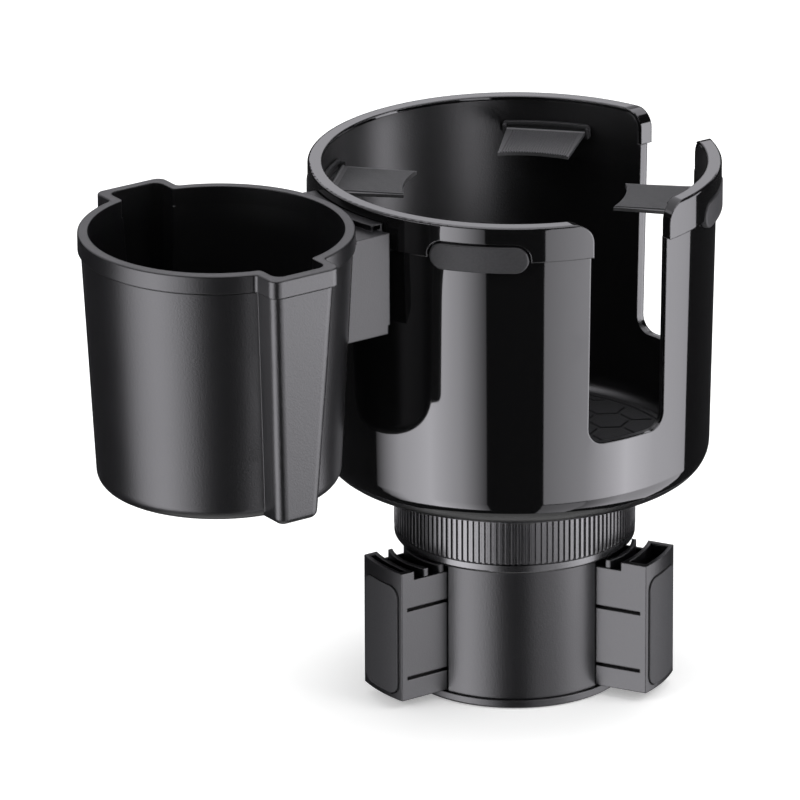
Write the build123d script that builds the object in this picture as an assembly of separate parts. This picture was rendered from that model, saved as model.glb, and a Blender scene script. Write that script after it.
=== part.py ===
from build123d import *
import math
import os

# Car cup holder: a wide cup on an expanding base, with a smaller cup hung on its side.
# Origin at the centre of the base's underside, +Z up. The small cup lies towards -X,
# the two handle slots of the wide cup face +X and -Y. All sizes in millimetres.

# Expanding base, from the underside upwards
base_radius = 29.4
base_band_height = 2.2
base_edge_radius = 0.5
panel_radius = 28.7
panel_wall = 2.0
guide_wall = 1.6
floor_disc_radius = 16.6
floor_disc_thickness = 3.3
deck_thickness = 1.8
ring_bottom_z = 38.1
ring_rest_gap = 0.3
post_radius = 5.4
key_side = 6.4
key_height = 3.0
key_clearance = 0.1

# Jaws that slide out of the base, one per angle, shown fully out
jaw_angles = (180, 60, -60)
jaw_names = ("left", "back", "right")
jaw_width = 17.2
jaw_reach = 42.3
jaw_inner_end = 16.1
jaw_side_clearance = 0.3
jaw_floor_clearance = 0.35
jaw_skirt_inner = 26.8
jaw_wall = 1.6
pocket_side_wall = 0.9
jaw_pocket_depth = 6.0
outer_wall_top_gap = 0.3
tooth_top_gap = 0.4
tooth_height = 2.2
tooth_thickness = 1.2
tooth_arc_radius = 19.0
teeth_per_jaw = 4
tooth_end_recess = 0.4
first_tooth_left = 35.4
wall_behind_tooth = 3.1
wall_slot_skin = 1.1
wall_slot_depth = 7.0
groove_height = 0.9
groove_depth = 1.8
left_groove_heights_z = (8.5, 27.5)
right_groove_heights_z = (8.5, 24.5)
groove_end_wall = 2.6
groove_clearance = 0.15
tongue_outer_end = 27.0
pad_width = 14.4
pad_height = 29.7
pad_foot = 1.35
pad_corner_radius = 3.0
pad_recess_depth = 0.8
pad_proud = 0.35
pad_gap = 0.2

# Scroll ring that drives the jaws
scroll_pitch = 4.8
scroll_rib_thickness = 1.2
scroll_rib_depth = 2.0
scroll_inner_radius = 15.5
scroll_outer_radius = 25.7
scroll_arc_step = 30
ring_lip_radius = 31.3
ring_lip_height = 2.3
ring_line_height = 0.35
ring_line_depth = 0.8
ring_lip_edge = 0.8
ring_web_thickness = 2.2
ring_wall = 2.4
ring_bore_clearance = 0.05
ring_top_gap = 0.5
knurl_count = 126
knurl_tip_radius = 31.4
knurl_depth = 0.6
knurl_tip_share = 0.4
knurl_root_share = 0.3

# Wide cup, sized over its rim caps
cap_radius = 53.15
cap_skin = 1.1
cap_fit = 0.05
cup_bottom_z = 57.6
rim_z = 140.3
cup_taper = 1.7
cup_wall = 2.1
cup_floor = 2.4
cup_bottom_edge = 7.0
spigot_radius = 8.2
neck_radius = 11.0
neck_skirt_radius = 28.2
neck_skirt_wall = 1.8
neck_skirt_depth = 12.0
bolt_well_depth = 6.4
bolt_well_radius = 6.0
slot_angles = (-90, 0)
slot_width = 23.6
slot_bottom_z = 79.6
slot_corner_radius = 4.5

# Glossy rim caps over the wide cup's edge
cap_width = 3.75
cap_height = 9.25
cap_top_thickness = 1.1
cap_end_wall = 1.0
cap_corner_radius = 5.2
cap_edge_radius = 0.6
cap_inner_edge_radius = 0.3
cap_notch_gap = 0.6

# Hexagon floor mat
mat_thickness = 1.6
mat_relief = 0.35
hex_pitch = 10.0
hex_groove = 1.1
mat_rim_width = 1.6
mat_gap = 0.3

# Gripping flaps, one per angle
flap_angles = (45, 135, -135, -45)
flap_centre_z = 131.7
flap_length = 18.0
flap_root_width = 20.7
flap_tip_width = 18.6
flap_thickness = 1.1
flap_hinge_gap = 0.3
flap_rib_height = 0.25
flap_rib_pitch = 0.68
flap_rib_width = 0.38
flap_rib_count = 26
flap_rib_start = 1.6
plug_length = 25.5
plug_height = 7.0
plug_proud = 1.35
plug_edge = 0.4
plug_neck_length = 20.0
plug_neck_height = 3.0
frame_length = 23.2
frame_height = 3.8
frame_corner_radius = 0.9
frame_border = 1.0
frame_recess = 0.6
frame_proud = 1.0
frame_cheek = 0.8
window_clearance = 0.1

# Hanging rail on the wide cup's wall and the bracket that hooks over it
rail_thickness = 0.9
rail_half_width = 14.0
rail_foot_z = 112.6
rail_foot_height = 3.0
rail_top_z = 135.4
bracket_half_width = 19.0
bracket_bottom_z = 109.3
bracket_top_z = 136.3
bracket_stand_off = 1.95
bracket_gap = 0.25
bracket_foot_height = 2.3
bracket_foot_recess = 0.5
hook_gap = 0.3
hook_wall = 0.7
hook_width = 3.4
hook_half_length = 15.1
hook_top_z = 137.8
hook_bottom_z = 129.0
hook_crown = 0.5

# Small side cup
side_offset = 38.35
side_bottom_z = 72.6
side_top_radius = 34.2
side_taper_angle = 3.0
side_wall = 1.8
side_floor = 2.0
side_bottom_edge = 4.0
side_lobe_edge = 2.3
side_band_height = 4.7
side_band_proud = 0.8
side_line_height = 0.4
side_line_depth = 0.45
side_rim_z = 140.0
side_rim_edge = 0.5
lobe_reach = 40.4
lobe_half_width = 9.4
lobe_corner_radius = 2.6
lobe_inner_radius = 1.2

# Fasteners
bolt_radius = 2.0
bolt_hole_radius = 2.2
bolt_head_radius = 3.6
bolt_head_height = 2.8
bolt_socket_flats = 3.0
bolt_socket_depth = 1.6
washer_radius = 5.6
washer_thickness = 1.0
nut_flats = 7.0
nut_thickness = 3.2
nut_clearance = 0.1
base_screw_radius = 1.3
base_screw_length = 14.0
base_screw_head_radius = 2.6
base_screw_head_height = 1.4
base_screw_circle = 19.8
base_boss_radius = 3.2
bracket_screw_radius = 1.1
bracket_screw_length = 4.7
bracket_screw_head_radius = 2.2
bracket_screw_head_height = 0.9
bracket_screw_sink = 0.15
bracket_screw_y = 10.5
bracket_screw_heights_z = (114.6, 127.6)
bracket_boss_radius = 2.4
bracket_boss_seat = 1.9
screw_recess_radius = 0.8
screw_fit = 0.05

# Sizes that follow from the ones above
housing_top_z = ring_bottom_z - ring_rest_gap
floor_top_z = base_band_height + floor_disc_thickness
tooth_top_z = ring_bottom_z - tooth_top_gap
jaw_top_z = tooth_top_z - tooth_height
jaw_bottom_z = base_band_height + jaw_floor_clearance
window_half = jaw_width / 2 + jaw_side_clearance
web_top_z = ring_bottom_z + ring_web_thickness
cup_top_radius = cap_radius - cap_skin - cap_fit
cup_bottom_radius = cup_top_radius - cup_taper
cup_floor_z = cup_bottom_z + cup_floor
cap_inner_radius = cap_radius - cap_width
cap_bottom_z = rim_z - cap_height
shell_top_z = rim_z - cap_top_thickness
wall_slope = (cup_top_radius - cup_bottom_radius) / (shell_top_z - cup_bottom_z)
key_base_z = ring_bottom_z - ring_rest_gap / 2
hook_inner_radius = cap_radius + hook_gap
rail_inner_radius = hook_inner_radius + hook_wall + bracket_gap
rail_outer_radius = rail_inner_radius + rail_thickness
pocket_radius = rail_outer_radius + bracket_gap
side_axis_x = -cap_radius - side_offset
side_band_z = side_rim_z - side_band_height
past = 5.0


def cup_outer_radius(z):
    """Outer radius of the wide cup's tapered wall at a height."""
    return cup_bottom_radius + wall_slope * (z - cup_bottom_z)


def tube(outer, inner, low, high):
    """Upright ring between two radii and two heights."""
    body = Pos(0, 0, low) * Cylinder(outer, high - low, align=(Align.CENTER, Align.CENTER, Align.MIN))
    hole = Pos(0, 0, low - past) * Cylinder(
        inner, high - low + 2 * past, align=(Align.CENTER, Align.CENTER, Align.MIN)
    )
    return body - hole


def disc(radius, low, high):
    """Upright cylinder between two heights."""
    return Pos(0, 0, low) * Cylinder(radius, high - low, align=(Align.CENTER, Align.CENTER, Align.MIN))


def block(x0, x1, half_y, z0, z1):
    """Box from x0 to x1, centred on y."""
    return Pos((x0 + x1) / 2, 0, (z0 + z1) / 2) * Box(x1 - x0, 2 * half_y, z1 - z0)


def wall_prism(sketch, angle, centre_z, near, far):
    """Extrude a sketch drawn in the tangent plane through a wall, from radius near to far."""
    direction = Vector(math.cos(math.radians(angle)), math.sin(math.radians(angle)), 0)
    tangent = Vector(-math.sin(math.radians(angle)), math.cos(math.radians(angle)), 0)
    plane = Plane(origin=direction * near + Vector(0, 0, centre_z), x_dir=tangent, z_dir=direction)
    return extrude(plane * sketch, amount=far - near)


def pill(length, height):
    """Flat shape with round ends."""
    return SlotOverall(length, height)


def turned(angle, shape):
    """Turn a shape about the main axis."""
    return Rot(0, 0, angle) * shape


# Base cover: the round flange that the jaws run over

def make_base_plate():
    plate = disc(base_radius, 0, base_band_height)
    plate = fillet(plate.edges().group_by(Axis.Z)[0], base_edge_radius)
    for angle in boss_angles():
        seat = disc(base_screw_head_radius + screw_fit, -past, base_screw_head_height)
        seat += disc(base_screw_radius + screw_fit, -past, base_band_height + past)
        plate -= turned(angle, Pos(base_screw_circle, 0, 0) * seat)
    return plate


def boss_angles():
    """Directions halfway between neighbouring jaws."""
    return [angle + 60 for angle in jaw_angles]


# Housing: three hollow pillars with panels, guide walls and a deck, round a centre post

def make_base_housing():
    body = disc(panel_radius, base_band_height, housing_top_z)
    body -= disc(panel_radius - panel_wall, jaw_top_z, housing_top_z + past)
    cavity = disc(panel_radius - panel_wall, base_band_height - past, jaw_top_z - deck_thickness)
    for angle in jaw_angles:
        cavity -= turned(angle, block(0, base_radius + past, window_half + guide_wall, -past, rim_z))
    body -= cavity
    for angle in jaw_angles:
        window = block(0, base_radius + past, window_half, floor_top_z, housing_top_z + past)
        low = block(0, base_radius + past, window_half, 0, floor_top_z)
        window += low - disc(floor_disc_radius, -past, floor_top_z + past)
        body -= turned(angle, window)
    for angle in jaw_angles:
        for side, z in groove_places():
            half = groove_height / 2 - groove_clearance
            reach = window_half - (jaw_width / 2 - groove_depth + groove_clearance)
            tongue = Box(
                tongue_outer_end - floor_disc_radius, reach + guide_wall / 2, 2 * half,
                align=(Align.MIN, Align.MAX, Align.CENTER),
            )
            if side < 0:
                tongue = mirror(tongue, Plane.XZ)
            tongue = Pos(floor_disc_radius, side * (window_half + guide_wall / 2), z) * tongue
            body += turned(angle, tongue)
    for angle in boss_angles():
        boss = disc(base_boss_radius, base_band_height, jaw_top_z - deck_thickness / 2)
        boss -= disc(base_screw_radius + screw_fit, -past, base_screw_length)
        body += turned(angle, Pos(base_screw_circle, 0, 0) * boss)
    body += disc(post_radius, base_band_height, key_base_z)
    body += Pos(0, 0, key_base_z) * Box(
        key_side, key_side, key_height, align=(Align.CENTER, Align.CENTER, Align.MIN)
    )
    body -= disc(bolt_hole_radius, 0, key_base_z + key_height + past)
    pocket = extrude(hexagon(nut_flats + 2 * nut_clearance), amount=nut_thickness + nut_clearance)
    return body - Pos(0, 0, base_band_height) * pocket


def groove_places():
    """Side and height of each jaw groove. The upper ones differ, so a jaw fits one way round only."""
    left = [(1, z) for z in left_groove_heights_z]
    right = [(-1, z) for z in right_groove_heights_z]
    return left + right


def hexagon(flats):
    """Regular hexagon given by its width over flats."""
    return RegularPolygon(radius=flats / 2, side_count=6, major_radius=False)


# Jaws: open-topped sliding blocks with curved teeth that the scroll drives

def first_tooth_radius(angle):
    """Radius of a jaw's outermost tooth. Each jaw sits a third of a pitch further along the scroll."""
    return first_tooth_left + scroll_pitch * (angle - jaw_angles[0]) / 360


def tooth(radius, low, high):
    """Curved plate across the jaw with its crown at a radius."""
    ring = tube(tooth_arc_radius + tooth_thickness / 2, tooth_arc_radius - tooth_thickness / 2, low, high)
    strip = block(0, 2 * tooth_arc_radius, jaw_width / 2, low, high)
    return Pos(radius - tooth_arc_radius, 0, 0) * (ring & strip)


def make_jaw(angle):
    first = first_tooth_radius(angle)
    wall_inner = first + wall_behind_tooth
    half = jaw_width / 2
    outer_top_z = ring_bottom_z - outer_wall_top_gap
    footprint = block(jaw_inner_end, jaw_reach, half, jaw_bottom_z, outer_top_z)
    footprint &= disc(jaw_reach, 0, rim_z)
    body = footprint - block(0, jaw_skirt_inner, half + past, 0, floor_top_z + jaw_floor_clearance)
    body -= disc(wall_inner, jaw_top_z, outer_top_z + past)
    pocket = block(
        jaw_inner_end + jaw_wall, jaw_reach, half - pocket_side_wall, jaw_top_z - jaw_pocket_depth, rim_z
    )
    pocket &= disc(wall_inner, 0, rim_z)
    for number in range(teeth_per_jaw):
        radius = first - number * scroll_pitch
        pocket -= tooth(radius, 0, rim_z)
    body -= pocket
    for number in range(teeth_per_jaw):
        radius = first - number * scroll_pitch
        body += tooth(radius, jaw_top_z - jaw_wall, tooth_top_z) & block(
            jaw_inner_end, jaw_reach, half - tooth_end_recess, 0, rim_z
        )
    wall_slot = tube(
        jaw_reach - wall_slot_skin, wall_inner + wall_slot_skin, outer_top_z - wall_slot_depth, rim_z
    )
    body -= wall_slot & block(0, jaw_reach, half - jaw_wall, 0, 2 * rim_z)
    for side, z in groove_places():
        groove_end = jaw_reach - groove_end_wall
        body -= Pos(0, side * half, z) * Box(2 * groove_end, 2 * groove_depth, groove_height)
    recess = pad_shape(pad_gap, jaw_reach - pad_recess_depth, jaw_reach + past)
    return turned(angle, body - recess)


def pad_shape(grow, near, far):
    """Block with the pad's outline, bounded inside by a round face."""
    outline = RectangleRounded(pad_width + 2 * grow, pad_height + 2 * grow, pad_corner_radius + grow)
    centre_z = jaw_bottom_z + pad_foot + pad_height / 2
    solid = wall_prism(outline, 0, centre_z, near - 2 * past, far)
    return solid - disc(near, 0, rim_z)


def make_jaw_pad(angle):
    face = jaw_reach + pad_proud
    pad = pad_shape(0, jaw_reach - pad_recess_depth, face + past) & disc(face, 0, rim_z)
    return turned(angle, pad)


# Scroll ring: knurled drum with a spiral rib on its underside

def scroll_radius(angle):
    """Centre radius of the scroll rib, half a pitch inside the matching tooth."""
    return first_tooth_radius(angle) - scroll_pitch / 2


def spiral_point(angle, offset):
    radius = scroll_radius(angle) + offset
    return (radius * math.cos(math.radians(angle)), radius * math.sin(math.radians(angle)))


def spiral_side(start, end, steps, offset):
    """Chain of arcs along the spiral, offset sideways from its centre line."""
    step = (end - start) / steps
    edges = []
    for number in range(steps):
        a = start + number * step
        edges.append(
            ThreePointArc(
                spiral_point(a, offset), spiral_point(a + step / 2, offset), spiral_point(a + step, offset)
            )
        )
    return edges


def make_scroll_rib():
    turns_out = (scroll_radius(0) - scroll_outer_radius) / scroll_pitch
    turns_in = (scroll_radius(0) - scroll_inner_radius) / scroll_pitch
    start = -360 * turns_in
    end = -360 * turns_out
    steps = round((end - start) / scroll_arc_step)
    half = scroll_rib_thickness / 2
    outline = spiral_side(start, end, steps, half) + spiral_side(start, end, steps, -half)
    outline.append(Line(spiral_point(start, half), spiral_point(start, -half)))
    outline.append(Line(spiral_point(end, half), spiral_point(end, -half)))
    face = make_face(Wire(outline).edges())
    return Pos(0, 0, ring_bottom_z - scroll_rib_depth) * extrude(face, amount=scroll_rib_depth + 0.1)


def knurl_outline():
    """Closed outline with flat-topped ribs round the drum."""
    points = []
    pitch = 360 / knurl_count
    root = knurl_tip_radius - knurl_depth
    for number in range(knurl_count):
        centre = number * pitch
        for radius, offset in (
            (knurl_tip_radius, -knurl_tip_share / 2),
            (knurl_tip_radius, knurl_tip_share / 2),
            (root, 0.5 - knurl_root_share / 2),
            (root, 0.5 + knurl_root_share / 2),
        ):
            a = math.radians(centre + offset * pitch)
            points.append((radius * math.cos(a), radius * math.sin(a)))
    return make_face(Polyline(*points, close=True))


def make_scroll_ring():
    lip_top_z = ring_bottom_z + ring_lip_height
    ring_top_z = cup_bottom_z - ring_top_gap
    lip = disc(ring_lip_radius, ring_bottom_z, lip_top_z)
    lip = fillet(lip.edges().group_by(Axis.Z)[0], ring_lip_edge)
    drum_bottom_z = lip_top_z + ring_line_height
    line = disc(knurl_tip_radius - ring_line_depth, lip_top_z, drum_bottom_z)
    drum = Pos(0, 0, drum_bottom_z) * extrude(knurl_outline(), amount=ring_top_z - drum_bottom_z)
    ring = lip + line + drum
    ring -= disc(knurl_tip_radius - ring_wall, web_top_z, ring_top_z + past)
    ring += make_scroll_rib()
    return ring - disc(spigot_radius + ring_bore_clearance, 0, rim_z)


# Wide cup: tapered shell with two handle slots, a neck below and the hanging rail

def shell_profile():
    inner_bottom = cup_bottom_radius + wall_slope * cup_floor - cup_wall
    face = make_face(
        Polyline(
            (0, cup_bottom_z), (cup_bottom_radius, cup_bottom_z), (cup_top_radius, shell_top_z),
            (cup_top_radius - cup_wall, shell_top_z), (inner_bottom, cup_floor_z), (0, cup_floor_z),
            close=True,
        )
    )
    corners = face.vertices().sort_by_distance((cup_bottom_radius, cup_bottom_z, 0))
    face = fillet(corners[0], cup_bottom_edge)
    corners = face.vertices().sort_by_distance((inner_bottom, cup_floor_z, 0))
    return fillet(corners[0], cup_bottom_edge - cup_wall)


def slot_cutter(width, bottom_z, corner):
    """Upright slot outline open at the top, drawn about its own bottom edge."""
    height = rim_z - bottom_z + 2 * past
    outline = Pos(0, height / 2) * Rectangle(width, height)
    return fillet(outline.vertices().group_by(Axis.Y)[0], corner)


def corner_cutter(width, radius, top_z):
    """What is left outside two rounded top corners beside a slot."""
    half = width / 2
    box = Pos(0, -radius / 2) * Rectangle(width + 2 * radius, radius)
    box -= Rectangle(width, 4 * radius)
    for side in (-1, 1):
        box -= Pos(side * (half + radius), -radius) * Circle(radius)
    return box + Pos(0, radius) * Rectangle(width, 2 * radius)


def cap_seat(angle, fit):
    """What a cap's end walls take from the shell beside a slot, with round top corners."""
    width = slot_width + 2 * (cap_end_wall - fit)
    near = cup_bottom_radius - 2 * past
    far = cap_radius + past
    notch = Pos(0, (rim_z - cap_bottom_z) / 2) * Rectangle(width, rim_z - cap_bottom_z)
    seat = wall_prism(notch, angle, cap_bottom_z, near, far)
    corner = corner_cutter(width, cap_corner_radius - cap_end_wall, shell_top_z)
    return seat + wall_prism(corner, angle, shell_top_z, near, far)


def make_main_cup():
    cup = revolve(Plane.XZ * shell_profile(), Axis.Z, 360)
    for angle in slot_angles:
        opening = slot_cutter(slot_width, slot_bottom_z, slot_corner_radius)
        cup -= wall_prism(opening, angle, slot_bottom_z, cup_bottom_radius - 2 * past, cap_radius + past)
        cup -= cap_seat(angle, 0)
    for angle in flap_angles:
        window = pill(plug_neck_length + 2 * window_clearance, plug_neck_height + 2 * window_clearance)
        cup -= wall_prism(window, angle, flap_centre_z, cup_bottom_radius - 2 * past, cap_radius + past)
    shoulder_z = web_top_z + ring_rest_gap
    cup += disc(neck_radius, shoulder_z, cup_bottom_z)
    cup += disc(spigot_radius, key_base_z, shoulder_z)
    cup += tube(neck_skirt_radius, neck_skirt_radius - neck_skirt_wall, cup_bottom_z - neck_skirt_depth, cup_bottom_z)
    socket = key_side + 2 * key_clearance
    cup -= Pos(0, 0, key_base_z) * Box(
        socket, socket, key_height + key_clearance, align=(Align.CENTER, Align.CENTER, Align.MIN)
    )
    cup -= disc(bolt_hole_radius, 0, cup_floor_z + past)
    cup -= disc(bolt_well_radius, cup_floor_z - bolt_well_depth, cup_floor_z + past)
    return cup + make_rail()


def make_rail():
    """Curved lip that stands off the wall and points up."""
    upright = tube(rail_outer_radius, rail_inner_radius, rail_foot_z, rail_top_z)
    foot = tube(rail_outer_radius, cup_top_radius - cup_wall, rail_foot_z, rail_foot_z + rail_foot_height)
    return (upright + foot) & block(-2 * cap_radius, 0, rail_half_width, 0, rim_z)


# Rim caps: channel-shaped covers pushed over the cup's edge, a long one and a short one

def cap_cavity():
    """Room for the cup's wall, open towards the inside of the cup."""
    low_radius = cup_outer_radius(cap_bottom_z) + cap_fit
    return make_face(
        Polyline(
            (low_radius, cap_bottom_z), (cup_top_radius + cap_fit, shell_top_z),
            (cap_inner_radius - past, shell_top_z), (cap_inner_radius - past, cap_bottom_z), close=True,
        )
    )


def make_rim_caps():
    """Both caps as one ring, cut apart by the handle slots."""
    outline = make_face(
        Polyline(
            (cap_inner_radius, cap_bottom_z), (cap_radius, cap_bottom_z), (cap_radius, rim_z),
            (cap_inner_radius, rim_z), close=True,
        )
    )
    top = outline.vertices().group_by(Axis.Y)[-1].sort_by(Axis.X)
    outline = fillet(top[-1], cap_edge_radius)
    inner = outline.vertices().sort_by_distance((cap_inner_radius, rim_z, 0))[0]
    ring = revolve(Plane.XZ * fillet(inner, cap_inner_edge_radius), Axis.Z, 360)
    cavity = revolve(Plane.XZ * cap_cavity(), Axis.Z, 360)
    for angle in slot_angles:
        cavity -= cap_seat(angle, cap_fit)
    ring -= cavity
    ring -= disc(cup_top_radius - cup_wall, cap_bottom_z - past, shell_top_z)
    for angle in slot_angles:
        reach = cap_inner_radius - past
        gap = Rectangle(slot_width, 4 * cap_height)
        ring -= wall_prism(gap, angle, rim_z, reach, cap_radius + past)
        corner = corner_cutter(slot_width, cap_corner_radius, rim_z)
        ring -= wall_prism(corner, angle, rim_z, reach, cap_radius + past)
    for angle in flap_angles:
        notch = pill(plug_length + 2 * cap_notch_gap, plug_height + 2 * cap_notch_gap)
        ring -= wall_prism(notch, angle, flap_centre_z, cap_inner_radius, cap_radius + past)
    pieces = ring.solids().sort_by(SortBy.VOLUME)
    return pieces[-1], pieces[-2]


# Floor mat: soft disc with raised hexagons

def make_floor_mat():
    flat_radius = cup_bottom_radius + wall_slope * cup_floor - cup_bottom_edge - mat_gap
    low = cup_floor_z
    mid = low + mat_thickness
    mat = disc(flat_radius, low, mid)
    field = flat_radius - mat_rim_width - hex_groove
    cells = []
    rows = math.ceil(field / (hex_pitch * math.sqrt(3) / 2))
    columns = math.ceil(field / hex_pitch) + 1
    for row in range(-rows, rows + 1):
        for column in range(-columns, columns + 1):
            x = (column + (row % 2) / 2) * hex_pitch
            y = row * hex_pitch * math.sqrt(3) / 2
            if math.hypot(x, y) < field + hex_pitch / 2:
                cells.append(Pos(x, y) * Rot(0, 0, 30) * hexagon(hex_pitch - hex_groove))
    relief = Sketch() + cells
    relief &= Circle(field)
    mat += Pos(0, 0, mid) * extrude(relief, amount=mat_relief)
    return mat + tube(flat_radius, flat_radius - mat_rim_width, low, mid + mat_relief)


# Flaps: each is a plug through the cup's wall with a ribbed tongue inside

def inner_wall_radius(z):
    return cup_outer_radius(z) - cup_wall


def frame_front_radius():
    """Face of the inner frame, which follows the cup's round wall."""
    return inner_wall_radius(flap_centre_z) - frame_proud


def flap_axis_radius():
    """Distance of a flap's hinge from the cup's axis, just in front of its frame."""
    nearest = math.sqrt(frame_front_radius() ** 2 - (flap_root_width / 2) ** 2)
    return nearest - flap_hinge_gap - flap_thickness / 2


def make_flap_plug(angle):
    face_radius = cup_top_radius + cap_fit + plug_proud
    seat_radius = cup_outer_radius(flap_centre_z + plug_height / 2)
    outer = wall_prism(pill(plug_length, plug_height), 0, flap_centre_z, seat_radius - past, face_radius + past)
    outer &= tube(face_radius, seat_radius, 0, rim_z)
    outer = fillet(outer.faces().sort_by(Axis.X)[-1].edges(), plug_edge)
    front = frame_front_radius()
    neck = wall_prism(pill(plug_neck_length, plug_neck_height), 0, flap_centre_z, front, face_radius)
    neck &= disc(seat_radius, 0, rim_z)
    inner_limit = inner_wall_radius(flap_centre_z - frame_height / 2)
    border = RectangleRounded(frame_length, frame_height, frame_corner_radius)
    frame = wall_prism(border, 0, flap_centre_z, front - past, cap_radius)
    frame &= tube(inner_limit, front, 0, rim_z)
    plug = outer + neck + frame
    opening = Rectangle(frame_length - 2 * frame_border, frame_height - 2 * frame_border)
    recess = wall_prism(opening, 0, flap_centre_z, front - 2 * past, cap_radius)
    plug -= recess & disc(front + frame_recess, 0, rim_z)
    room = flap_root_width / 2 + window_clearance * 2
    end_x = flap_axis_radius() - flap_thickness / 2
    for side in (-1, 1):
        cheek = Pos(end_x, side * room, flap_centre_z) * Box(
            front - end_x, frame_cheek, flap_thickness + 2 * frame_cheek,
            align=(Align.MIN, Align.MIN if side > 0 else Align.MAX, Align.CENTER),
        )
        plug += cheek & disc(inner_limit, 0, rim_z)
    return turned(angle, plug)


def make_grip_flap(angle):
    axis = flap_axis_radius()
    tip = axis - flap_length
    low = flap_centre_z - flap_thickness / 2
    top = flap_centre_z + flap_thickness / 2
    plate = make_face(
        Polyline(
            (axis, -flap_root_width / 2), (axis, flap_root_width / 2), (tip, flap_tip_width / 2),
            (0, flap_tip_width / 2), (0, -flap_tip_width / 2), (tip, -flap_tip_width / 2), close=True,
        )
    )
    tongue = Pos(0, 0, low) * extrude(plate, amount=flap_thickness - flap_rib_height)
    ribs = []
    for number in range(flap_rib_count):
        y = (number - (flap_rib_count - 1) / 2) * flap_rib_pitch
        rib = Pos(0, y, top - flap_rib_height - flap_rib_width / 2) * Box(
            axis - flap_rib_start, flap_rib_width, flap_rib_height + flap_rib_width / 2,
            align=(Align.MIN, Align.CENTER, Align.MIN),
        )
        ribs.append(rib)
    tongue += ribs
    bead = Pos(axis, 0, flap_centre_z) * Rot(90, 0, 0) * Cylinder(flap_thickness / 2, flap_root_width)
    tongue += bead
    return turned(angle, tongue - disc(tip, 0, rim_z))


# Side cup: tapered cup with two flat lobes and a raised band at its rim

def side_lobe_outline(grow):
    """Long round-cornered shape whose two ends are the lobes."""
    width = 2 * (lobe_half_width + grow)
    length = 2 * (lobe_reach + grow)
    return RectangleRounded(width, length, lobe_corner_radius)


def side_rim_outline(grow):
    """Round outline with the two lobes, at the rim."""
    outline = Circle(side_top_radius + grow) + side_lobe_outline(grow)
    inner = [v for v in outline.vertices() if abs(v.Y) < side_top_radius + grow]
    return fillet(inner, lobe_inner_radius)


def side_form(grow, bottom_z, edge, lobe_edge):
    """Tapered round body with its lobes, below the rim band."""
    height = side_band_z - bottom_z
    top_radius = side_top_radius + grow
    bottom_radius = top_radius - height * math.tan(math.radians(side_taper_angle))
    profile = make_face(
        Polyline((0, bottom_z), (bottom_radius, bottom_z), (top_radius, side_band_z), (0, side_band_z), close=True)
    )
    corner = profile.vertices().sort_by_distance((bottom_radius, bottom_z, 0))[0]
    body = revolve(Plane.XZ * fillet(corner, edge), Axis.Z, 360)
    low = Pos(0, 0, bottom_z) * side_lobe_outline(grow - top_radius + bottom_radius)
    high = Pos(0, 0, side_band_z) * side_lobe_outline(grow)
    lobes = loft([low, high], ruled=True)
    lobes = fillet(lobes.faces().sort_by(Axis.Z)[0].edges(), lobe_edge)
    return Pos(side_axis_x, 0, 0) * (body + lobes)


def side_band(grow, height):
    """Upright wall from the band's lower edge."""
    return Pos(side_axis_x, 0, side_band_z) * extrude(side_rim_outline(grow), amount=height)


def side_bosses(grow):
    """Short bosses on the round wall, hidden in the bracket, that take its screws."""
    bosses = []
    for x, y, z in screw_places():
        boss = Rot(0, -90, 0) * Cylinder(
            bracket_boss_radius + grow, past, align=(Align.CENTER, Align.CENTER, Align.MIN)
        )
        bosses.append(Pos(x - bracket_boss_seat, y, z) * boss)
    return Part() + bosses


def side_envelope(boss_grow):
    """Outer form of the side cup, for the pieces that seat against it."""
    body = side_form(0, side_bottom_z, side_bottom_edge, side_lobe_edge)
    return body + side_band(side_band_proud, side_band_height) + side_bosses(boss_grow)


def make_side_cup():
    body = side_form(0, side_bottom_z, side_bottom_edge, side_lobe_edge)
    line_z = side_band_z - side_line_height
    around = disc(2 * lobe_reach, line_z, side_band_z) - Pos(0, 0, line_z) * extrude(
        side_rim_outline(-side_line_depth), amount=side_line_height
    )
    body -= Pos(side_axis_x, 0, 0) * around
    band = side_band(side_band_proud, side_band_height)
    band = fillet(band.faces().sort_by(Axis.Z)[-1].edges(), side_rim_edge)
    cup = body + band + side_bosses(0)
    cup -= side_form(
        -side_wall, side_bottom_z + side_floor, side_bottom_edge - side_wall, side_lobe_edge - side_wall
    )
    cup -= side_band(-side_wall, side_band_height + past)
    return cup - bracket_screw_holes()


# Bracket: block behind the side cup that hooks over the rail

def make_side_bracket():
    body = block(side_axis_x, 0, bracket_half_width, bracket_bottom_z, bracket_top_z)
    stand_off = cap_radius + bracket_stand_off
    body -= disc(stand_off, 0, 2 * rim_z)
    body -= disc(stand_off + bracket_foot_recess, 0, bracket_bottom_z + bracket_foot_height)
    hook = tube(hook_inner_radius + hook_width, hook_inner_radius, hook_bottom_z, hook_top_z)
    body += hook & block(side_axis_x, 0, hook_half_length, 0, 2 * rim_z)
    body -= disc(stand_off, 0, hook_bottom_z)
    channel_inner = hook_inner_radius + hook_wall
    body -= tube(hook_inner_radius + hook_width - hook_wall, channel_inner, bracket_top_z, hook_top_z - hook_crown)
    pocket = tube(pocket_radius, channel_inner, bracket_bottom_z - past, rail_top_z + bracket_gap)
    body -= pocket & block(side_axis_x, 0, rail_half_width + bracket_gap, 0, 2 * rim_z)
    body -= side_envelope(screw_fit)
    return (body - bracket_screw_holes()).solids().sort_by(SortBy.VOLUME)[-1]


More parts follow.
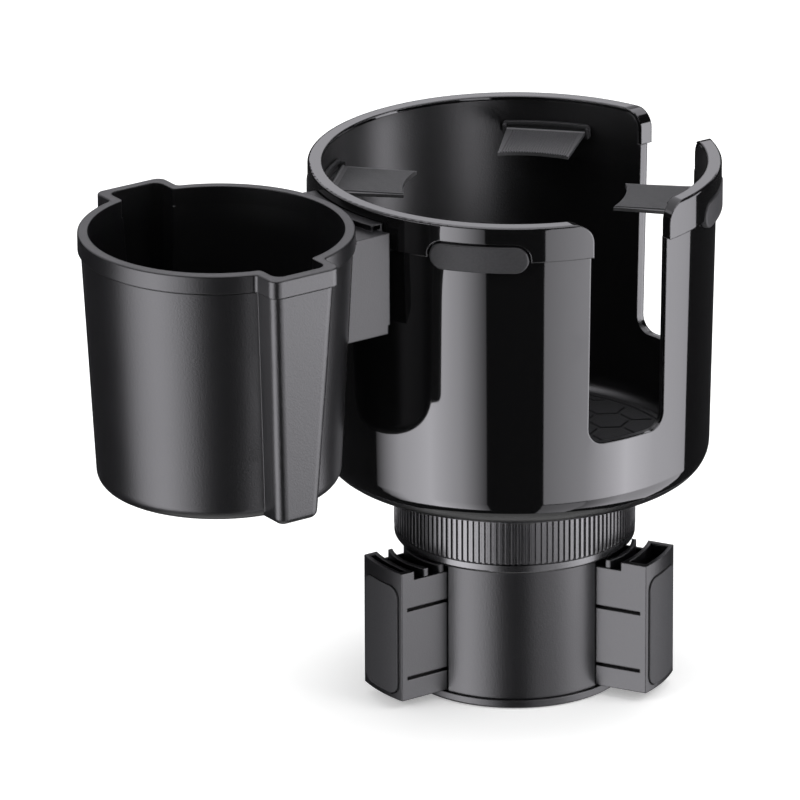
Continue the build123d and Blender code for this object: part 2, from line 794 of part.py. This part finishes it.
def screw_places():
    """Seats sunk in the bracket's pocket face, one for each screw."""
    inner_edge = bracket_screw_y - bracket_screw_head_radius
    face_x = -math.sqrt(pocket_radius ** 2 - inner_edge ** 2)
    x = face_x - bracket_screw_sink - bracket_screw_head_height
    return [(x, side * bracket_screw_y, z) for z in bracket_screw_heights_z for side in (-1, 1)]


def bracket_screw_holes():
    """Clearance for shanks and flat seats for heads."""
    cutters = []
    for x, y, z in screw_places():
        shank = Rot(0, -90, 0) * Cylinder(
            bracket_screw_radius + screw_fit, bracket_screw_length + screw_fit,
            align=(Align.CENTER, Align.CENTER, Align.MIN),
        )
        seat = Rot(0, 90, 0) * Cylinder(
            bracket_screw_head_radius + screw_fit, past, align=(Align.CENTER, Align.CENTER, Align.MIN)
        )
        cutters.append(Pos(x, y, z) * (shank + seat))
    return Part() + cutters


def make_bracket_screws():
    screws = []
    for x, y, z in screw_places():
        shank = Rot(0, -90, 0) * Cylinder(
            bracket_screw_radius, bracket_screw_length, align=(Align.CENTER, Align.CENTER, Align.MIN)
        )
        head = Rot(0, 90, 0) * Cylinder(
            bracket_screw_head_radius, bracket_screw_head_height,
            align=(Align.CENTER, Align.CENTER, Align.MIN),
        )
        socket = Pos(bracket_screw_head_height, 0, 0) * Rot(0, -90, 0) * Cylinder(
            screw_recess_radius, bracket_screw_head_height / 2,
            align=(Align.CENTER, Align.CENTER, Align.MIN),
        )
        screws.append(Pos(x, y, z) * (shank + head - socket))
    return Compound(children=screws)


# Fasteners of the base

def make_hub_bolt():
    seat_z = cup_floor_z - bolt_well_depth + washer_thickness
    bolt = disc(bolt_radius, base_band_height + nut_clearance, seat_z)
    bolt += disc(bolt_head_radius, seat_z, seat_z + bolt_head_height)
    socket = extrude(hexagon(bolt_socket_flats), amount=bolt_socket_depth)
    return bolt - Pos(0, 0, seat_z + bolt_head_height - bolt_socket_depth) * socket


def make_hub_washer():
    low = cup_floor_z - bolt_well_depth
    return tube(washer_radius, bolt_radius + screw_fit, low, low + washer_thickness)


def make_hub_nut():
    nut = Pos(0, 0, base_band_height) * extrude(hexagon(nut_flats), amount=nut_thickness)
    return nut - disc(bolt_radius + screw_fit, 0, rim_z)


def make_base_screws():
    screws = []
    for angle in boss_angles():
        screw = disc(base_screw_head_radius, 0.1, base_screw_head_height)
        screw += disc(base_screw_radius, base_screw_head_height, base_screw_length - 1)
        screw -= disc(screw_recess_radius, 0, base_screw_head_height * 0.7)
        screws.append(turned(angle, Pos(base_screw_circle, 0, 0) * screw))
    return Compound(children=screws)


def save(name, shape):
    export_step(shape, f"parts/{name}.step")


os.makedirs("parts", exist_ok=True)
save("base_plate", make_base_plate())
save("base_housing", make_base_housing())
save("scroll_ring", make_scroll_ring())
for jaw_name, jaw_angle in zip(jaw_names, jaw_angles):
    save(f"jaw_{jaw_name}", make_jaw(jaw_angle))
    save(f"jaw_pad_{jaw_name}", make_jaw_pad(jaw_angle))
save("main_cup", make_main_cup())
long_cap, short_cap = make_rim_caps()
save("rim_cap_long", long_cap)
save("rim_cap_short", short_cap)
save("floor_mat", make_floor_mat())
for number, flap_angle in enumerate(flap_angles, start=1):
    save(f"flap_plug_{number}", make_flap_plug(flap_angle))
    save(f"grip_flap_{number}", make_grip_flap(flap_angle))
save("side_cup", make_side_cup())
save("side_bracket", make_side_bracket())
save("bracket_screws", make_bracket_screws())
save("hub_bolt", make_hub_bolt())
save("hub_washer", make_hub_washer())
save("hub_nut", make_hub_nut())
save("base_screws", make_base_screws())
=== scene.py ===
import math

import bmesh
import bpy
from mathutils import Matrix, Vector

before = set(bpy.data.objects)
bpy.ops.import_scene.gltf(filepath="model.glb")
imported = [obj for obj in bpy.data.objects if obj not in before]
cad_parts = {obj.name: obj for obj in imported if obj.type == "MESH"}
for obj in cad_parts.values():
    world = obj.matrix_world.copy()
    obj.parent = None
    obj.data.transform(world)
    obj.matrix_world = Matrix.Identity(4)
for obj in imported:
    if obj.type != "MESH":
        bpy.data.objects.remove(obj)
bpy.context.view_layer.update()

# Base cover: the round flange that the whole holder stands on. It is moulded in satin black
# plastic and screwed up into the housing from below. Like the housing, ring, jaws, side cup and
# bracket it has the fine spark-eroded grain of an untreated mould.

mm = 0.001
satin_black = (0.0034, 0.0034, 0.0037, 1.0)
satin_roughness = 0.31
moulded_edge = 0.45 * mm
fine_grain = 2200.0
fine_grain_depth = 0.028 * mm
sheen_patches = 38.0
tone_swing = 0.18
bevel_samples = 6


def grain_group():
    """Fine mould grain: small bumps, and slow changes of sheen across a piece."""
    group = bpy.data.node_groups.new("mould_grain", "ShaderNodeTree")
    face = group.interface
    face.new_socket("Vector", in_out="INPUT", socket_type="NodeSocketVector")
    usual_values = (("Grain Scale", fine_grain), ("Roughness", satin_roughness), ("Spread", 0.05))
    for socket_name, usual in usual_values:
        socket = face.new_socket(socket_name, in_out="INPUT", socket_type="NodeSocketFloat")
        socket.default_value = usual
    tone_in = face.new_socket("Colour", in_out="INPUT", socket_type="NodeSocketColor")
    tone_in.default_value = satin_black
    face.new_socket("Colour", in_out="OUTPUT", socket_type="NodeSocketColor")
    face.new_socket("Roughness", in_out="OUTPUT", socket_type="NodeSocketFloat")
    face.new_socket("Height", in_out="OUTPUT", socket_type="NodeSocketFloat")
    nodes, links = group.nodes, group.links
    entry = nodes.new("NodeGroupInput")
    leave = nodes.new("NodeGroupOutput")
    grain = nodes.new("ShaderNodeTexNoise")
    grain.inputs["Detail"].default_value = 2.0
    links.new(entry.outputs["Vector"], grain.inputs["Vector"])
    links.new(entry.outputs["Grain Scale"], grain.inputs["Scale"])
    slow = nodes.new("ShaderNodeTexNoise")
    slow.inputs["Scale"].default_value = sheen_patches
    slow.inputs["Detail"].default_value = 3.0
    links.new(entry.outputs["Vector"], slow.inputs["Vector"])
    centred = nodes.new("ShaderNodeMath")
    centred.operation = "SUBTRACT"
    centred.inputs[1].default_value = 0.5
    links.new(slow.outputs["Fac"], centred.inputs[0])
    swing = nodes.new("ShaderNodeMath")
    swing.operation = "MULTIPLY_ADD"
    links.new(centred.outputs[0], swing.inputs[0])
    links.new(entry.outputs["Spread"], swing.inputs[1])
    links.new(entry.outputs["Roughness"], swing.inputs[2])
    links.new(swing.outputs[0], leave.inputs["Roughness"])
    tone = nodes.new("ShaderNodeHueSaturation")
    shade = nodes.new("ShaderNodeMapRange")
    shade.inputs["From Min"].default_value = 0.3
    shade.inputs["From Max"].default_value = 0.7
    shade.inputs["To Min"].default_value = 1.0 - tone_swing
    shade.inputs["To Max"].default_value = 1.0 + tone_swing
    links.new(grain.outputs["Fac"], shade.inputs["Value"])
    links.new(shade.outputs["Result"], tone.inputs["Value"])
    links.new(entry.outputs["Colour"], tone.inputs["Color"])
    links.new(tone.outputs["Color"], leave.inputs["Colour"])
    links.new(grain.outputs["Fac"], leave.inputs["Height"])
    return group


mould_grain = grain_group()


def round_edges(nodes, radius):
    """Small round on every sharp edge, as the mould leaves it, with its radius in metres."""
    edge = nodes.new("ShaderNodeBevel")
    edge.samples = bevel_samples
    edge.inputs["Radius"].default_value = radius
    return edge.outputs["Normal"]


def moulded(name, colour, roughness, spread, grain_scale, grain_depth, specular, edge=moulded_edge):
    """Plastic or rubber as it comes out of the mould, with grain of that depth in metres."""
    material = bpy.data.materials.new(name)
    material.use_nodes = True
    nodes, links = material.node_tree.nodes, material.node_tree.links
    shader = nodes["Principled BSDF"]
    shader.inputs["Specular IOR Level"].default_value = specular
    place = nodes.new("ShaderNodeTexCoord")
    grain = nodes.new("ShaderNodeGroup")
    grain.node_tree = mould_grain
    grain.inputs["Grain Scale"].default_value = grain_scale
    grain.inputs["Roughness"].default_value = roughness
    grain.inputs["Spread"].default_value = spread
    grain.inputs["Colour"].default_value = colour
    links.new(place.outputs["Object"], grain.inputs["Vector"])
    links.new(grain.outputs["Colour"], shader.inputs["Base Color"])
    links.new(grain.outputs["Roughness"], shader.inputs["Roughness"])
    bump = nodes.new("ShaderNodeBump")
    bump.inputs["Distance"].default_value = grain_depth
    bump.inputs["Strength"].default_value = 1.0
    links.new(round_edges(nodes, edge), bump.inputs["Normal"])
    links.new(grain.outputs["Height"], bump.inputs["Height"])
    links.new(bump.outputs["Normal"], shader.inputs["Normal"])
    return material


satin = moulded(
    "satin_plastic", satin_black, roughness=satin_roughness, spread=0.06,
    grain_scale=fine_grain, grain_depth=fine_grain_depth, specular=0.37,
)


def finish_node(name, material):
    """Gives a CAD piece its own finish in place of the plain one."""
    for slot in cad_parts[name].material_slots:
        slot.material = material


finish_node("base_plate", satin)

# Base housing: three hollow pillars with round panels, guide walls for the jaws, a deck and the
# centre post, all one satin moulding in the same black plastic as its cover. Its deck carries
# the scroll ring, and its post takes the hub bolt.

finish_node("base_housing", satin)

# Jaws: three sliding blocks of the same satin plastic, open at the top, whose curved teeth run
# in the scroll. Each has a soft rubber pad pressed into its outer face, which grips the car's
# own cup well.

rubber_black = (0.022, 0.022, 0.023, 1.0)
pad_grain_depth = 0.008 * mm
pad_rubber = moulded(
    "pad_rubber", rubber_black, roughness=0.5, spread=0.08,
    grain_scale=fine_grain, grain_depth=pad_grain_depth, specular=0.22,
)
for side in ("left", "back", "right"):
    finish_node("jaw_" + side, satin)
    finish_node("jaw_pad_" + side, pad_rubber)

# Scroll ring: the knurled drum that is turned by hand, moulded in satin plastic a little
# smoother than the base. It turns on the housing's deck, and the spiral under it moves the jaws.
# Its knurls keep crisp edges, so its mould round is small.

ring_grain = 2600.0
ring_grain_depth = 0.003 * mm
knurl_edge = 0.08 * mm
ring_plastic = moulded(
    "ring_plastic", satin_black, roughness=0.24, spread=0.04,
    grain_scale=ring_grain, grain_depth=ring_grain_depth, specular=0.75, edge=knurl_edge,
)
finish_node("scroll_ring", ring_plastic)

# Wide cup: one gloss moulding with its neck and the hanging rail, polished like piano lacquer
# outside and satin inside, so that bottles don't stick. Its two rim caps are separate gloss
# mouldings, pressed over the rim and down the slots' edges.

gloss_black = (0.0032, 0.0032, 0.0034, 1.0)
gloss_roughness = 0.045
gloss_spread = 0.03
inside_dullness = 0.24
cup_taper = 1.7 * mm
cup_depth = 81.6 * mm
wall_slope = cup_taper / cup_depth
mid_wall_radius = 49.4 * mm
cup_floor_height = 57.8 * mm


def polished(name, colour, satin_inside):
    """High-gloss plastic, and satin with mould grain on the inside of the cup where that is asked.

    The inside is what lies above the cup's floor and nearer to its axis than the middle of its
    wall, which stands further out with its slope the higher it is.
    """
    material = bpy.data.materials.new(name)
    material.use_nodes = True
    nodes, links = material.node_tree.nodes, material.node_tree.links
    shader = nodes["Principled BSDF"]
    place = nodes.new("ShaderNodeTexCoord")
    grain = nodes.new("ShaderNodeGroup")
    grain.node_tree = mould_grain
    grain.inputs["Grain Scale"].default_value = fine_grain
    grain.inputs["Roughness"].default_value = gloss_roughness
    grain.inputs["Spread"].default_value = gloss_spread
    grain.inputs["Colour"].default_value = colour
    links.new(place.outputs["Object"], grain.inputs["Vector"])
    links.new(grain.outputs["Colour"], shader.inputs["Base Color"])
    if not satin_inside:
        links.new(grain.outputs["Roughness"], shader.inputs["Roughness"])
        links.new(round_edges(nodes, moulded_edge), shader.inputs["Normal"])
        return material
    flat = nodes.new("ShaderNodeVectorMath")
    flat.operation = "MULTIPLY"
    flat.inputs[1].default_value = (1.0, 1.0, 0.0)
    links.new(place.outputs["Object"], flat.inputs[0])
    out_from_axis = nodes.new("ShaderNodeVectorMath")
    out_from_axis.operation = "LENGTH"
    links.new(flat.outputs["Vector"], out_from_axis.inputs[0])
    height = nodes.new("ShaderNodeSeparateXYZ")
    links.new(place.outputs["Object"], height.inputs[0])
    upright = nodes.new("ShaderNodeMath")
    upright.operation = "MULTIPLY_ADD"
    upright.inputs[1].default_value = -wall_slope
    links.new(height.outputs["Z"], upright.inputs[0])
    links.new(out_from_axis.outputs["Value"], upright.inputs[2])
    within = nodes.new("ShaderNodeMath")
    within.operation = "LESS_THAN"
    within.inputs[1].default_value = mid_wall_radius - wall_slope * cup_floor_height
    links.new(upright.outputs[0], within.inputs[0])
    above = nodes.new("ShaderNodeMath")
    above.operation = "GREATER_THAN"
    above.inputs[1].default_value = cup_floor_height
    links.new(height.outputs["Z"], above.inputs[0])
    inside = nodes.new("ShaderNodeMath")
    inside.operation = "MULTIPLY"
    links.new(within.outputs[0], inside.inputs[0])
    links.new(above.outputs[0], inside.inputs[1])
    dull = nodes.new("ShaderNodeMath")
    dull.operation = "MULTIPLY_ADD"
    dull.inputs[1].default_value = inside_dullness
    links.new(inside.outputs[0], dull.inputs[0])
    links.new(grain.outputs["Roughness"], dull.inputs[2])
    links.new(dull.outputs[0], shader.inputs["Roughness"])
    relief = nodes.new("ShaderNodeMath")
    relief.operation = "MULTIPLY"
    links.new(grain.outputs["Height"], relief.inputs[0])
    links.new(inside.outputs[0], relief.inputs[1])
    bump = nodes.new("ShaderNodeBump")
    bump.inputs["Distance"].default_value = fine_grain_depth
    bump.inputs["Strength"].default_value = 1.0
    links.new(round_edges(nodes, moulded_edge), bump.inputs["Normal"])
    links.new(relief.outputs[0], bump.inputs["Height"])
    links.new(bump.outputs["Normal"], shader.inputs["Normal"])
    return material


finish_node("main_cup", polished("gloss_and_satin", gloss_black, True))
gloss = polished("piano_gloss", gloss_black, False)
for cap in ("rim_cap_long", "rim_cap_short"):
    finish_node(cap, gloss)

# Floor mat: a loose disc of soft black rubber with raised hexagons, pressed in one piece and
# laid on the cup's floor, so that bottles stand quietly.

rubber_grain = 1800.0
rubber_grain_depth = 0.01 * mm
mat_rubber = moulded(
    "mat_rubber", rubber_black, roughness=0.55, spread=0.1,
    grain_scale=rubber_grain, grain_depth=rubber_grain_depth, specular=0.12,
)
finish_node("floor_mat", mat_rubber)

# Flaps: four soft rubber plugs pushed through windows in the cup's wall, with a pill outside
# and a frame inside. Each holds a finely ribbed tongue that bends down and grips a bottle.

flap_black = (0.036, 0.036, 0.0375, 1.0)
plug_black = (0.02, 0.02, 0.021, 1.0)
rib_edge = 0.05 * mm
flap_rubber = moulded(
    "flap_rubber", flap_black, roughness=0.42, spread=0.08,
    grain_scale=rubber_grain, grain_depth=rubber_grain_depth, specular=0.4, edge=rib_edge,
)
plug_rubber = moulded(
    "plug_rubber", plug_black, roughness=0.48, spread=0.08,
    grain_scale=rubber_grain, grain_depth=rubber_grain_depth, specular=0.25,
)
for number in (1, 2, 3, 4):
    finish_node(f"flap_plug_{number}", plug_rubber)
    finish_node(f"grip_flap_{number}", flap_rubber)

# Side cup and its bracket: two satin mouldings, screwed together from the bracket's side and
# hung over the rail on the wide cup. The bracket's plastic is the duller one.

finish_node("side_cup", satin)
bracket_satin = moulded(
    "bracket_satin", satin_black, roughness=0.33, spread=0.06,
    grain_scale=fine_grain, grain_depth=fine_grain_depth, specular=0.27,
)
finish_node("side_bracket", bracket_satin)

# Fasteners: hub bolt with its washer and nut, the base cover's three screws and the bracket's
# four, all turned or cold headed in zinc-plated steel.

zinc_grey = (0.5, 0.5, 0.51, 1.0)
zinc_grain = 2600.0
zinc_roughness = 0.32
zinc_spread = 0.12

steel = bpy.data.materials.new("plated_steel")
steel.use_nodes = True
steel_shader = steel.node_tree.nodes["Principled BSDF"]
steel_shader.inputs["Metallic"].default_value = 1.0
steel_place = steel.node_tree.nodes.new("ShaderNodeTexCoord")
steel_grain = steel.node_tree.nodes.new("ShaderNodeGroup")
steel_grain.node_tree = mould_grain
steel_grain.inputs["Grain Scale"].default_value = zinc_grain
steel_grain.inputs["Roughness"].default_value = zinc_roughness
steel_grain.inputs["Spread"].default_value = zinc_spread
steel_grain.inputs["Colour"].default_value = zinc_grey
steel.node_tree.links.new(steel_place.outputs["Object"], steel_grain.inputs["Vector"])
steel.node_tree.links.new(steel_grain.outputs["Colour"], steel_shader.inputs["Base Color"])
steel.node_tree.links.new(steel_grain.outputs["Roughness"], steel_shader.inputs["Roughness"])
for fastener in ("hub_bolt", "hub_washer", "hub_nut", "base_screws", "bracket_screws"):
    finish_node(fastener, steel)

# Camera: where the photograph was taken from, 2.5 m off and 20.85 degrees up, with a long lens.
# The middle of the picture lies a little beside the wide cup's axis.

camera_azimuth = math.radians(-125.0)
camera_elevation = math.radians(20.85)
camera_distance = 2.5
focal_pixels = 9659.0
frame_pixels = 800.0
axis_pixel = (514.6, 415.1)
aim_height = 70 * mm

towards_camera = Vector((
    math.cos(camera_elevation) * math.cos(camera_azimuth),
    math.cos(camera_elevation) * math.sin(camera_azimuth),
    math.sin(camera_elevation),
))
picture_right = Vector((-math.sin(camera_azimuth), math.cos(camera_azimuth), 0.0))
picture_up = towards_camera.cross(picture_right)
across = (frame_pixels / 2 - axis_pixel[0]) / focal_pixels
down = (frame_pixels / 2 - axis_pixel[1]) / focal_pixels
forward = (-towards_camera + picture_right * across - picture_up * down).normalized()
level = (picture_right - forward * picture_right.dot(forward)).normalized()
upright = level.cross(forward)
camera_data = bpy.data.cameras.new("camera")
camera_data.sensor_width = 36.0
camera_data.lens = focal_pixels / frame_pixels * camera_data.sensor_width
camera_data.clip_start = 0.05
camera_data.clip_end = 50.0
camera = bpy.data.objects.new("camera", camera_data)
bpy.context.scene.collection.objects.link(camera)
turn = Matrix((level, upright, -forward)).transposed().to_4x4()
stand = Vector((0, 0, aim_height)) + towards_camera * camera_distance
camera.matrix_world = Matrix.Translation(stand) @ turn
bpy.context.scene.camera = camera

# Floor: a wide plain pale sheet that catches a faint shadow. It isn't mirrored in the gloss, so
# that the cup's underside stays dark.

floor_radius = 6.0
floor_drop = 0.2 * mm
floor_white = (0.94, 0.94, 0.94, 1.0)
floor_glow = 0.3

floor_mesh = bmesh.new()
bmesh.ops.create_circle(floor_mesh, cap_ends=True, radius=floor_radius, segments=96)
floor_data = bpy.data.meshes.new("floor")
floor_mesh.to_mesh(floor_data)
floor_mesh.free()
floor = bpy.data.objects.new("floor", floor_data)
bpy.context.scene.collection.objects.link(floor)
floor.location.z = -floor_drop
floor.visible_glossy = False
floor_paint = bpy.data.materials.new("floor_paint")
floor_paint.use_nodes = True
floor_shader = floor_paint.node_tree.nodes["Principled BSDF"]
floor_shader.inputs["Base Color"].default_value = floor_white
floor_shader.inputs["Roughness"].default_value = 0.9
floor_shader.inputs["Specular IOR Level"].default_value = 0.0
floor_shader.inputs["Emission Color"].default_value = (1.0, 1.0, 1.0, 1.0)
floor_view = floor_paint.node_tree.nodes.new("ShaderNodeLightPath")
floor_lift = floor_paint.node_tree.nodes.new("ShaderNodeMath")
floor_lift.operation = "MULTIPLY"
floor_lift.inputs[1].default_value = floor_glow
floor_paint.node_tree.links.new(floor_view.outputs["Is Camera Ray"], floor_lift.inputs[0])
floor_paint.node_tree.links.new(floor_lift.outputs[0], floor_shader.inputs["Emission Strength"])
floor_data.materials.append(floor_paint)

# World: white where the camera, glossy rays and glass see it. Otherwise it is an even pale light
# from all round.

air_white = (1.0, 1.0, 1.0, 1.0)
pale_strength = 0.45

world = bpy.data.worlds.new("studio_air")
bpy.context.scene.world = world
world.use_nodes = True
air, air_links = world.node_tree.nodes, world.node_tree.links
air.clear()
world_out = air.new("ShaderNodeOutputWorld")
white_air = air.new("ShaderNodeBackground")
white_air.inputs["Color"].default_value = air_white
white_air.inputs["Strength"].default_value = 1.0
pale_air = air.new("ShaderNodeBackground")
pale_air.inputs["Color"].default_value = air_white
pale_air.inputs["Strength"].default_value = pale_strength
path = air.new("ShaderNodeLightPath")
seen = air.new("ShaderNodeMath")
seen.operation = "ADD"
seen_through = air.new("ShaderNodeMath")
seen_through.operation = "ADD"
seen_through.use_clamp = True
choice = air.new("ShaderNodeMixShader")
air_links.new(path.outputs["Is Camera Ray"], seen.inputs[0])
air_links.new(path.outputs["Is Glossy Ray"], seen.inputs[1])
air_links.new(seen.outputs[0], seen_through.inputs[0])
air_links.new(path.outputs["Is Transmission Ray"], seen_through.inputs[1])
air_links.new(seen_through.outputs[0], choice.inputs[0])
air_links.new(pale_air.outputs[0], choice.inputs[1])
air_links.new(white_air.outputs[0], choice.inputs[2])
air_links.new(choice.outputs[0], world_out.inputs["Surface"])

# Reflection cards: curved walls of lit cloth that only the object's gloss sees. Rows of them stand
# at both sides of the camera, brightest near their middles. Two more hang behind the object, one
# lies flat above it, and dark cloth closes the rest.

card_white = (0.96, 0.945, 1.0, 1.0)
wall_radius = 1.2
wall_foot = -1.2
wall_top = 0.35
near_radius = 0.4
near_split = -0.096
near_top = 0.2
low_foot = -0.4
low_inner_foot = -0.6
low_inner_top = -0.13
back_start = 148
back_end = 272
back_foot = 0.49
back_split = 0.72
back_top = 1.42
back_strength = 1.65
back_high_strength = 1.1
high_radius = 0.8
high_height = 1.0
high_rise = 0.001
high_strength = 3.6
cloth_radius = 1.6
cloth_reach = 3.0
cloth_strength = 0.03
most_lean = 0.99
full_turn = 360
step_degrees = 2


def card(name, start, end, low, high, radius, near_strength, far_strength, lean=0.0):
    """Curved wall between two directions, measured from the camera to its right in degrees.

    Its strength changes evenly from one end to the other. Its top leans inwards by lean, and a
    lean as long as the radius makes it a nearly flat disc with a small hole in its middle.
    """
    wall = bmesh.new()
    span = end - start
    first = camera_azimuth + math.radians(start)
    outward = Vector((math.cos(first), math.sin(first), 0.0))
    foot = wall.verts.new(outward * radius + Vector((0, 0, low)))
    head = wall.verts.new(outward * (radius - most_lean * lean) + Vector((0, 0, high)))
    wall.edges.new((foot, head))
    bmesh.ops.spin(
        wall, geom=wall.verts[:] + wall.edges[:], cent=(0, 0, 0), axis=(0, 0, 1),
        angle=math.radians(span), steps=int(span / step_degrees), use_merge=False,
    )
    data = bpy.data.meshes.new(name)
    wall.to_mesh(data)
    wall.free()
    piece = bpy.data.objects.new(name, data)
    bpy.context.scene.collection.objects.link(piece)
    cloth = bpy.data.materials.new(name)
    cloth.use_nodes = True
    cloth.cycles.emission_sampling = "NONE"
    nodes, links = cloth.node_tree.nodes, cloth.node_tree.links
    nodes.clear()
    out = nodes.new("ShaderNodeOutputMaterial")
    glow = nodes.new("ShaderNodeEmission")
    glow.inputs["Color"].default_value = card_white
    place = nodes.new("ShaderNodeTexCoord")
    turned = nodes.new("ShaderNodeMapping")
    turned.inputs["Rotation"].default_value = (0, 0, -(first + math.radians(span) / 2))
    sweep = nodes.new("ShaderNodeTexGradient")
    sweep.gradient_type = "RADIAL"
    ramp = nodes.new("ShaderNodeMapRange")
    half_share = span / full_turn / 2
    ramp.inputs["From Min"].default_value = 0.5 - half_share
    ramp.inputs["From Max"].default_value = 0.5 + half_share
    ramp.inputs["To Min"].default_value = near_strength
    ramp.inputs["To Max"].default_value = far_strength
    links.new(place.outputs["Object"], turned.inputs["Vector"])
    links.new(turned.outputs["Vector"], sweep.inputs["Vector"])
    links.new(sweep.outputs["Fac"], ramp.inputs["Value"])
    links.new(ramp.outputs["Result"], glow.inputs["Strength"])
    links.new(glow.outputs["Emission"], out.inputs["Surface"])
    data.materials.append(cloth)
    piece.visible_camera = False
    piece.visible_diffuse = False
    piece.visible_shadow = False
    piece.visible_transmission = False


card("left_end_card", -88, -70, wall_foot, wall_top, wall_radius, 0.4, 6.0)
card("left_outer_card", -70, -50, wall_foot, wall_top, wall_radius, 6.0, 9.0)
card("left_middle_card", -50, -31, wall_foot, wall_top, wall_radius, 9.0, 5.4)
card("left_inner_card", -31, -16, wall_foot, wall_top, wall_radius, 5.4, 0.9)
card("right_inner_card", 15.9, 39.5, near_split, near_top, near_radius, 3.0, 4.9)
card("right_middle_card", 39.5, 65, near_split, near_top, near_radius, 4.9, 9.7)
card("right_outer_card", 65, 85, near_split, near_top, near_radius, 9.7, 6.0)
card("right_end_card", 85, 114.5, near_split, near_top, near_radius, 6.0, 2.6)
card("low_middle_card", 42, 66, low_foot, near_split, near_radius, 1.4, 4.6)
card("low_outer_card", 66, 114.5, low_foot, near_split, near_radius, 4.6, 2.6)
card("low_inner_card", 15.9, 42, low_inner_foot, low_inner_top, near_radius, 1.5, 2.5)
card(
    "back_card", back_start, back_end, back_foot, back_split, wall_radius,
    back_strength, back_strength,
)
card(
    "back_high_card", back_start, back_end, back_split, back_top, wall_radius,
    back_high_strength, back_high_strength,
)
card(
    "high_card", 0, full_turn, high_height - high_rise, high_height, high_radius,
    high_strength, high_strength, lean=high_radius,
)
card(
    "dark_cloth", 0, full_turn, -cloth_reach, cloth_reach, cloth_radius,
    cloth_strength, cloth_strength,
)

# Lamps: large soft boxes above and at both sides of the camera, which give the plain even light
# and aren't mirrored.

lamp_distance = 1.4
lamp_power = 9.0
lamp_target = 80 * mm
side_lamp_size = 0.9
top_lamp_size = 1.0


def soft_box(name, azimuth, elevation, size):
    """Square lamp facing the object, its direction measured from the camera to its right."""
    data = bpy.data.lights.new(name, "AREA")
    data.shape = "RECTANGLE"
    data.size = size
    data.size_y = size
    data.energy = lamp_power
    lamp = bpy.data.objects.new(name, data)
    bpy.context.scene.collection.objects.link(lamp)
    bearing = camera_azimuth + math.radians(azimuth)
    rise = math.radians(elevation)
    away = Vector((
        math.cos(rise) * math.cos(bearing), math.cos(rise) * math.sin(bearing), math.sin(rise),
    ))
    lamp.location = Vector((0, 0, lamp_target)) + away * lamp_distance
    lamp.rotation_euler = (-away).to_track_quat("-Z", "Y").to_euler()
    lamp.visible_glossy = False
    lamp.visible_camera = False


soft_box("key_lamp", -60, 40, side_lamp_size)
soft_box("fill_lamp", 70, 40, side_lamp_size)
soft_box("top_lamp", 180, 75, top_lamp_size)

bpy.context.scene.view_settings.view_transform = "Standard"
